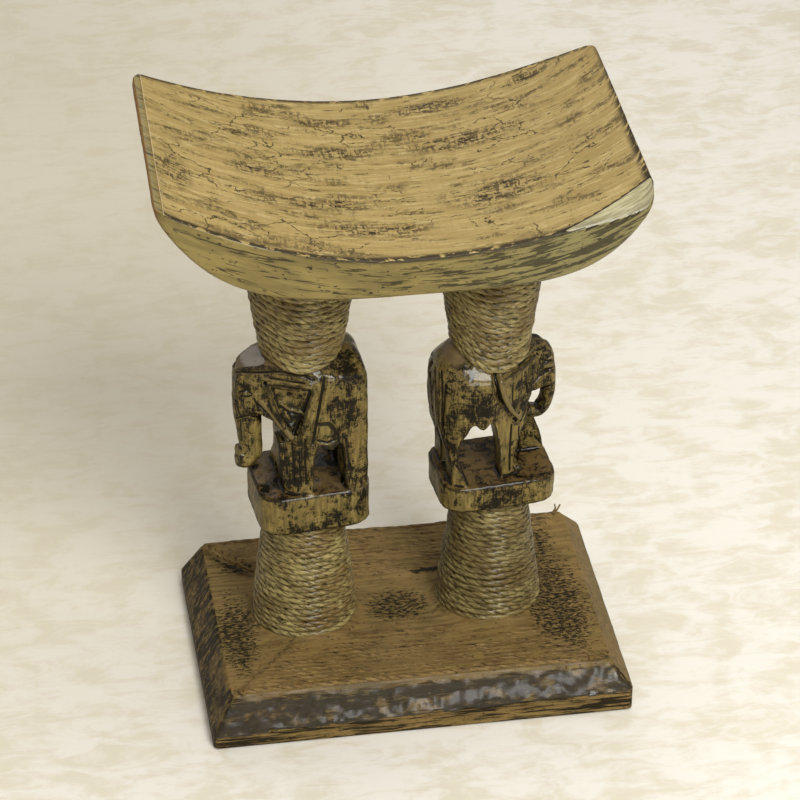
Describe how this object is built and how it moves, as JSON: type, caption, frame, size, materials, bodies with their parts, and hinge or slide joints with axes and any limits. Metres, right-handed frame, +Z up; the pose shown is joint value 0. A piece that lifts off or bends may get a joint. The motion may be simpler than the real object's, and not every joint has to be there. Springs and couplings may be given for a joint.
{
  "type": "decorative stool",
  "caption": "Low carved stool: a dished wooden seat on elephant-shaped pillars wound with jute cord, over a bevelled base with cord fields glued on it.",
  "frame": {"origin": "on the floor under the middle of the seat", "axes": "+Z up, +X along the seat to the right as seen from the front, -Y towards the front"},
  "size_m": [0.3428, 0.221, 0.4557],
  "materials": {
    "seat_wood": "ochre paint rubbed through and streaked dark along the board, satin varnish",
    "base_wood": "dark red-brown stain under glossy varnish",
    "carved_wood": "near-black stain rubbed back to olive on the flats, glossy varnish",
    "jute_cord": "twisted jute stained olive brown, light varnish",
    "dowel_wood": "plain hardwood, glued",
    "screw_steel": "zinc plated"
  },
  "bodies": {
    "root": {"seat": "seat_wood", "base": "base_wood", "front_cord_field": "jute_cord", "rear_cord_field": "jute_cord", "left_elephant_pillar": "carved_wood", "left_lower_winding": "jute_cord", "left_upper_winding": "jute_cord", "left_base_dowel": "dowel_wood", "left_seat_dowel": "dowel_wood", "left_base_screw_front": "screw_steel", "left_base_screw_rear": "screw_steel", "right_elephant_pillar": "carved_wood", "right_lower_winding": "jute_cord", "right_upper_winding": "jute_cord", "right_base_dowel": "dowel_wood", "right_seat_dowel": "dowel_wood", "right_base_screw_front": "screw_steel", "right_base_screw_rear": "screw_steel"}
  },
  "joints": []
}
